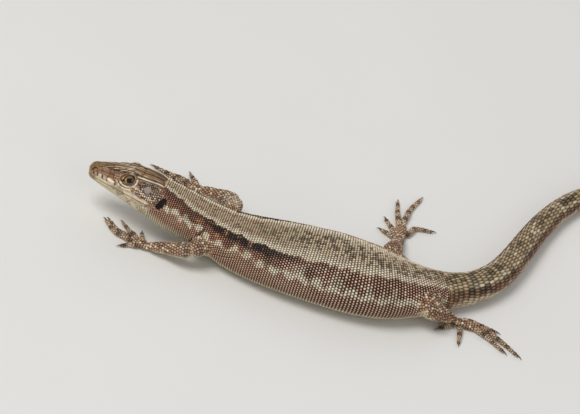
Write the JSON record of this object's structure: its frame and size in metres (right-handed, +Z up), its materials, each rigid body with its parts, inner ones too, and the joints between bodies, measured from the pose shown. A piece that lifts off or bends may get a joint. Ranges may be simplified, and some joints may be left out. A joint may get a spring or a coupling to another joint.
{
  "type": "wall lizard",
  "caption": "Life-size still model of a common wall lizard resting on its belly, head raised, limbs spread and the long tail swept to one side in a loose S.",
  "frame": {"origin": "on the floor under the middle of the belly, on the flat it rests on", "axes": "+X from the nose towards the tail tip, +Z up, so the animal's left side faces -Y"},
  "size_m": [0.1389, 0.0775, 0.0106],
  "materials": {
    "head_scales": "smooth horny shields, olive brown with dark seams, satin",
    "throat_scales": "smooth pale scales, satin",
    "body_scales": "fine granular scales, brown back, pale line and dark flank band, satin",
    "tail_scales": "keeled scales in whorls, brown with dark and pale marks, satin",
    "limb_scales": "small scales, brown with pale dots, satin",
    "digit_scales": "small banded scales, tan with dark spots, and dark claws",
    "eye": "wet gloss, black round pupil in a gold ring",
    "eardrum": "dark smooth membrane"
  },
  "bodies": {
    "root": {"head": "head_scales", "lower_jaw": "throat_scales", "eye_left": "eye", "eye_right": "eye", "eardrum_left": "eardrum", "eardrum_right": "eardrum", "neck": "body_scales", "trunk": "body_scales", "tail_base": "tail_scales", "tail_front": "tail_scales", "tail_middle": "tail_scales", "tail_rear": "tail_scales", "tail_tip": "tail_scales", "left_upper_arm": "limb_scales", "left_forearm": "limb_scales", "left_hand": "digit_scales", "left_finger_1": "digit_scales", "left_finger_2": "digit_scales", "left_finger_3": "digit_scales", "left_finger_4": "digit_scales", "left_finger_5": "digit_scales", "left_thigh": "limb_scales", "left_shank": "limb_scales", "left_foot": "digit_scales", "left_toe_1": "digit_scales", "left_toe_2": "digit_scales", "left_toe_3": "digit_scales", "left_toe_4": "digit_scales", "left_toe_5": "digit_scales", "right_upper_arm": "limb_scales", "right_forearm": "limb_scales", "right_hand": "digit_scales", "right_finger_1": "digit_scales", "right_finger_2": "digit_scales", "right_finger_3": "digit_scales", "right_finger_4": "digit_scales", "right_finger_5": "digit_scales", "right_thigh": "limb_scales", "right_shank": "limb_scales", "right_foot": "digit_scales", "right_toe_1": "digit_scales", "right_toe_2": "digit_scales", "right_toe_3": "digit_scales", "right_toe_4": "digit_scales", "right_toe_5": "digit_scales"}
  },
  "joints": []
}
